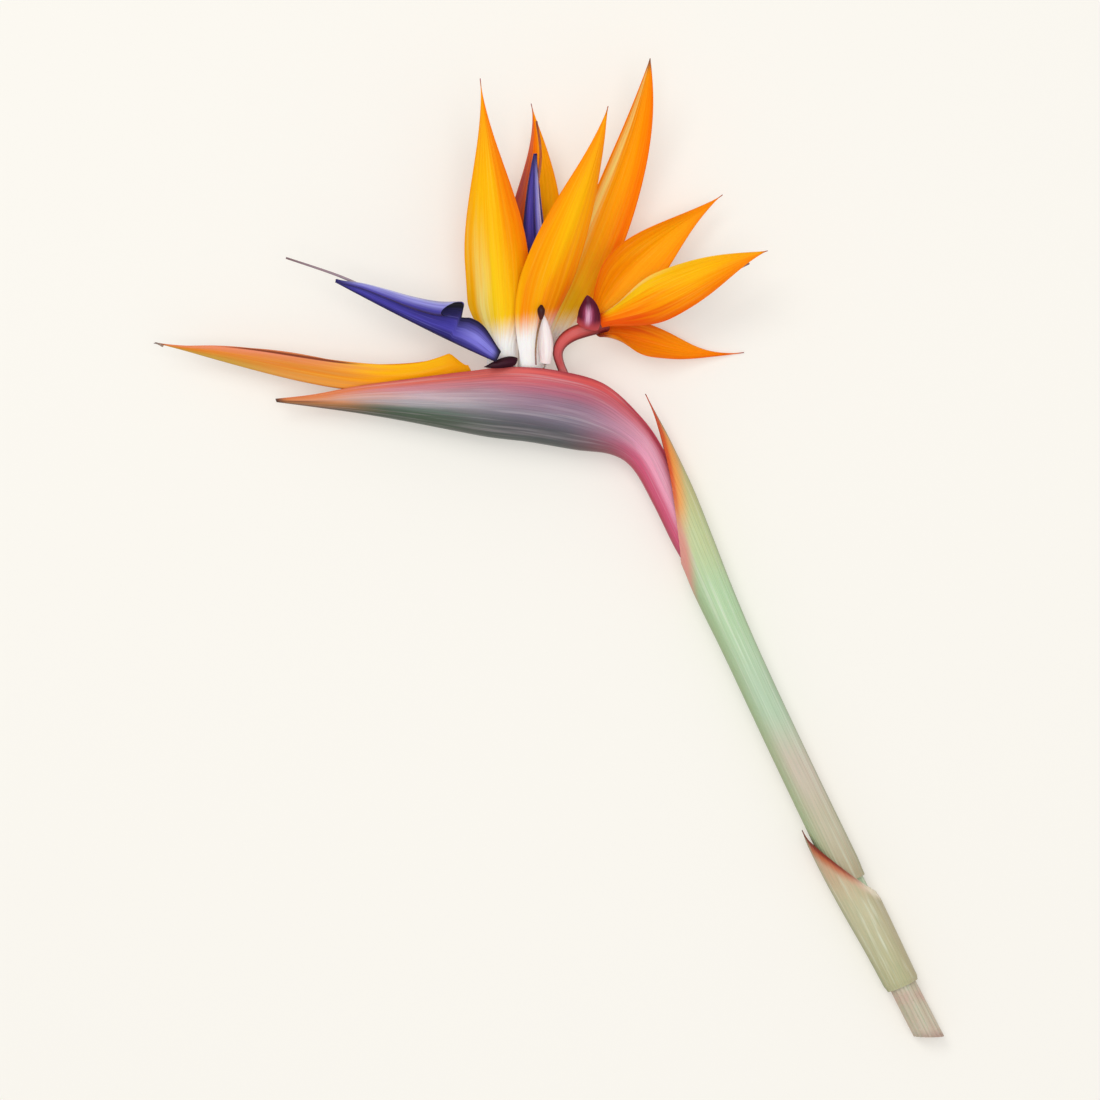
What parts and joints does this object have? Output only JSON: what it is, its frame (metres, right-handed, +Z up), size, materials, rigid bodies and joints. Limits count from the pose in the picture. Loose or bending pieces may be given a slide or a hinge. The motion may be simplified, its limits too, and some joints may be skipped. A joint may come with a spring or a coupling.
{
  "type": "bird of paradise flower",
  "caption": "Cut flower lying on its side: stem with clasping sheaths, boat-shaped spathe, orange sepals and blue arrow petals.",
  "frame": {"origin": "centre of the bounding box in plan, on the surface the flower lies on", "axes": "+Z up off the surface, +Y from the cut stem towards the sepals' tips, +X from the spathe's point towards the stem side"},
  "size_m": [0.2748, 0.3394, 0.0454],
  "materials": {
    "stem_green": "satin",
    "sheath_green": "satin",
    "spathe_red": "satin",
    "sepal_orange": "satin",
    "hood_maroon": "satin",
    "hood_pale": "satin",
    "hood_dark": "satin",
    "arrow_blue": "satin",
    "style_grey": "matte",
    "tube_red": "satin",
    "tube_white": "satin"
  },
  "bodies": {
    "root": {"stem": "stem_green", "sheath_upper": "sheath_green", "sheath_lower": "sheath_green", "spathe": "spathe_red", "sepal_1_upper": "sepal_orange", "sepal_1_near": "sepal_orange", "sepal_1_lower": "sepal_orange", "sepal_2_left": "sepal_orange", "sepal_2_near": "sepal_orange", "sepal_2_right": "sepal_orange", "sepal_3_near": "sepal_orange", "sepal_3_left": "sepal_orange", "sepal_3_right": "sepal_orange", "sepal_4_near": "sepal_orange", "hood_1": "hood_maroon", "hood_2": "hood_pale", "hood_3": "hood_dark", "arrow_1": "arrow_blue", "arrow_2": "arrow_blue", "arrow_3": "arrow_blue", "style_1": "style_grey", "style_2": "style_grey", "style_3": "style_grey", "floret_tube_1": "tube_red", "floret_tube_2": "tube_white", "floret_tube_3": "tube_white", "floret_tube_4": "tube_white"}
  },
  "joints": []
}
